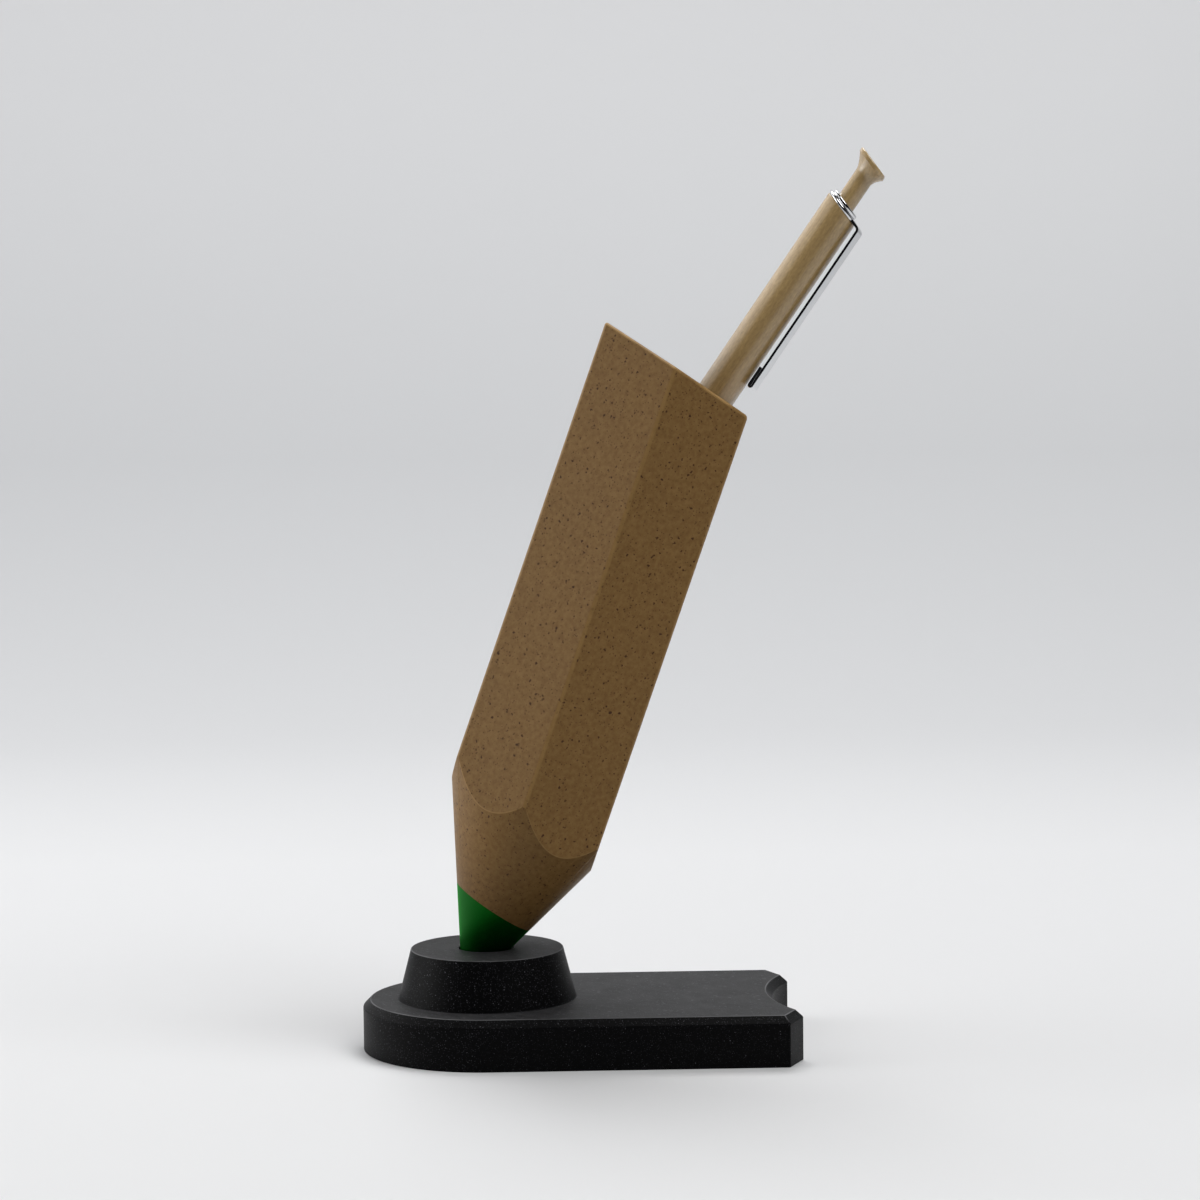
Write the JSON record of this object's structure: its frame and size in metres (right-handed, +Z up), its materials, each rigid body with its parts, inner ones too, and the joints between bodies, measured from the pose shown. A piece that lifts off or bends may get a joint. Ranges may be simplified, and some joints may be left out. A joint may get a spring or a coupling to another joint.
{
  "type": "pen holder",
  "caption": "Pen holder shaped like a leaning pencil, with a hollow six-sided body standing by its coloured tip on a bevelled base, and a click pen in its cup.",
  "frame": {"origin": "on the table under the middle of the round socket boss", "axes": "+X along the base to its hollowed end, the way the pencil leans; +Y to the back; +Z up"},
  "size_m": [0.1193, 0.0564, 0.2023],
  "materials": {
    "base_black": "printed plastic with fine sparkle, faint layer lines",
    "tip_green": "printed plastic with a satin sheen",
    "body_brown": "wood-filled printed plastic with fine dark specks",
    "pen_wood": "turned maple, oiled, grain along the pen",
    "pen_chrome": "polished",
    "inner_plastic": "moulded",
    "ink_tube": "drawn tube with blue ink",
    "point_brass": "turned",
    "spring_steel": "drawn wire"
  },
  "bodies": {
    "holder": {"base": "base_black", "lead_tip": "tip_green", "holder_body": "body_brown"},
    "pen": {"pen_barrel": "pen_wood", "pen_nose": "pen_chrome", "pen_clip": "pen_chrome", "pen_collar": "pen_chrome", "click_sleeve": "inner_plastic", "return_spring": "spring_steel"},
    "button": {"push_button": "pen_wood", "click_plunger": "inner_plastic", "refill_tube": "ink_tube", "refill_point": "point_brass"},
    "rotor": {"click_rotor": "inner_plastic"}
  },
  "joints": [
    {"name": "pen_lift", "type": "slide", "parent": "holder", "child": "pen", "axis": [0.5693, 0, 0.8221], "range_m": [0, 0.1]},
    {"name": "button_press", "type": "slide", "parent": "pen", "child": "button", "axis": [-0.5693, 0, -0.8221], "range_m": [0, 0.005], "stiffness_N_per_m": 300, "springref_m": -0.003, "deforming": ["return_spring"]},
    {"name": "rotor_turn", "type": "hinge", "parent": "button", "child": "rotor", "pos_m": [0.06841, 0, 0.16973], "axis": [0.5693, 0, 0.8221], "range_deg": [0, 45]}
  ],
  "couplings": [
    {"joint": "rotor_turn", "follows": "button_press", "rad_per_m": 157}
  ]
}
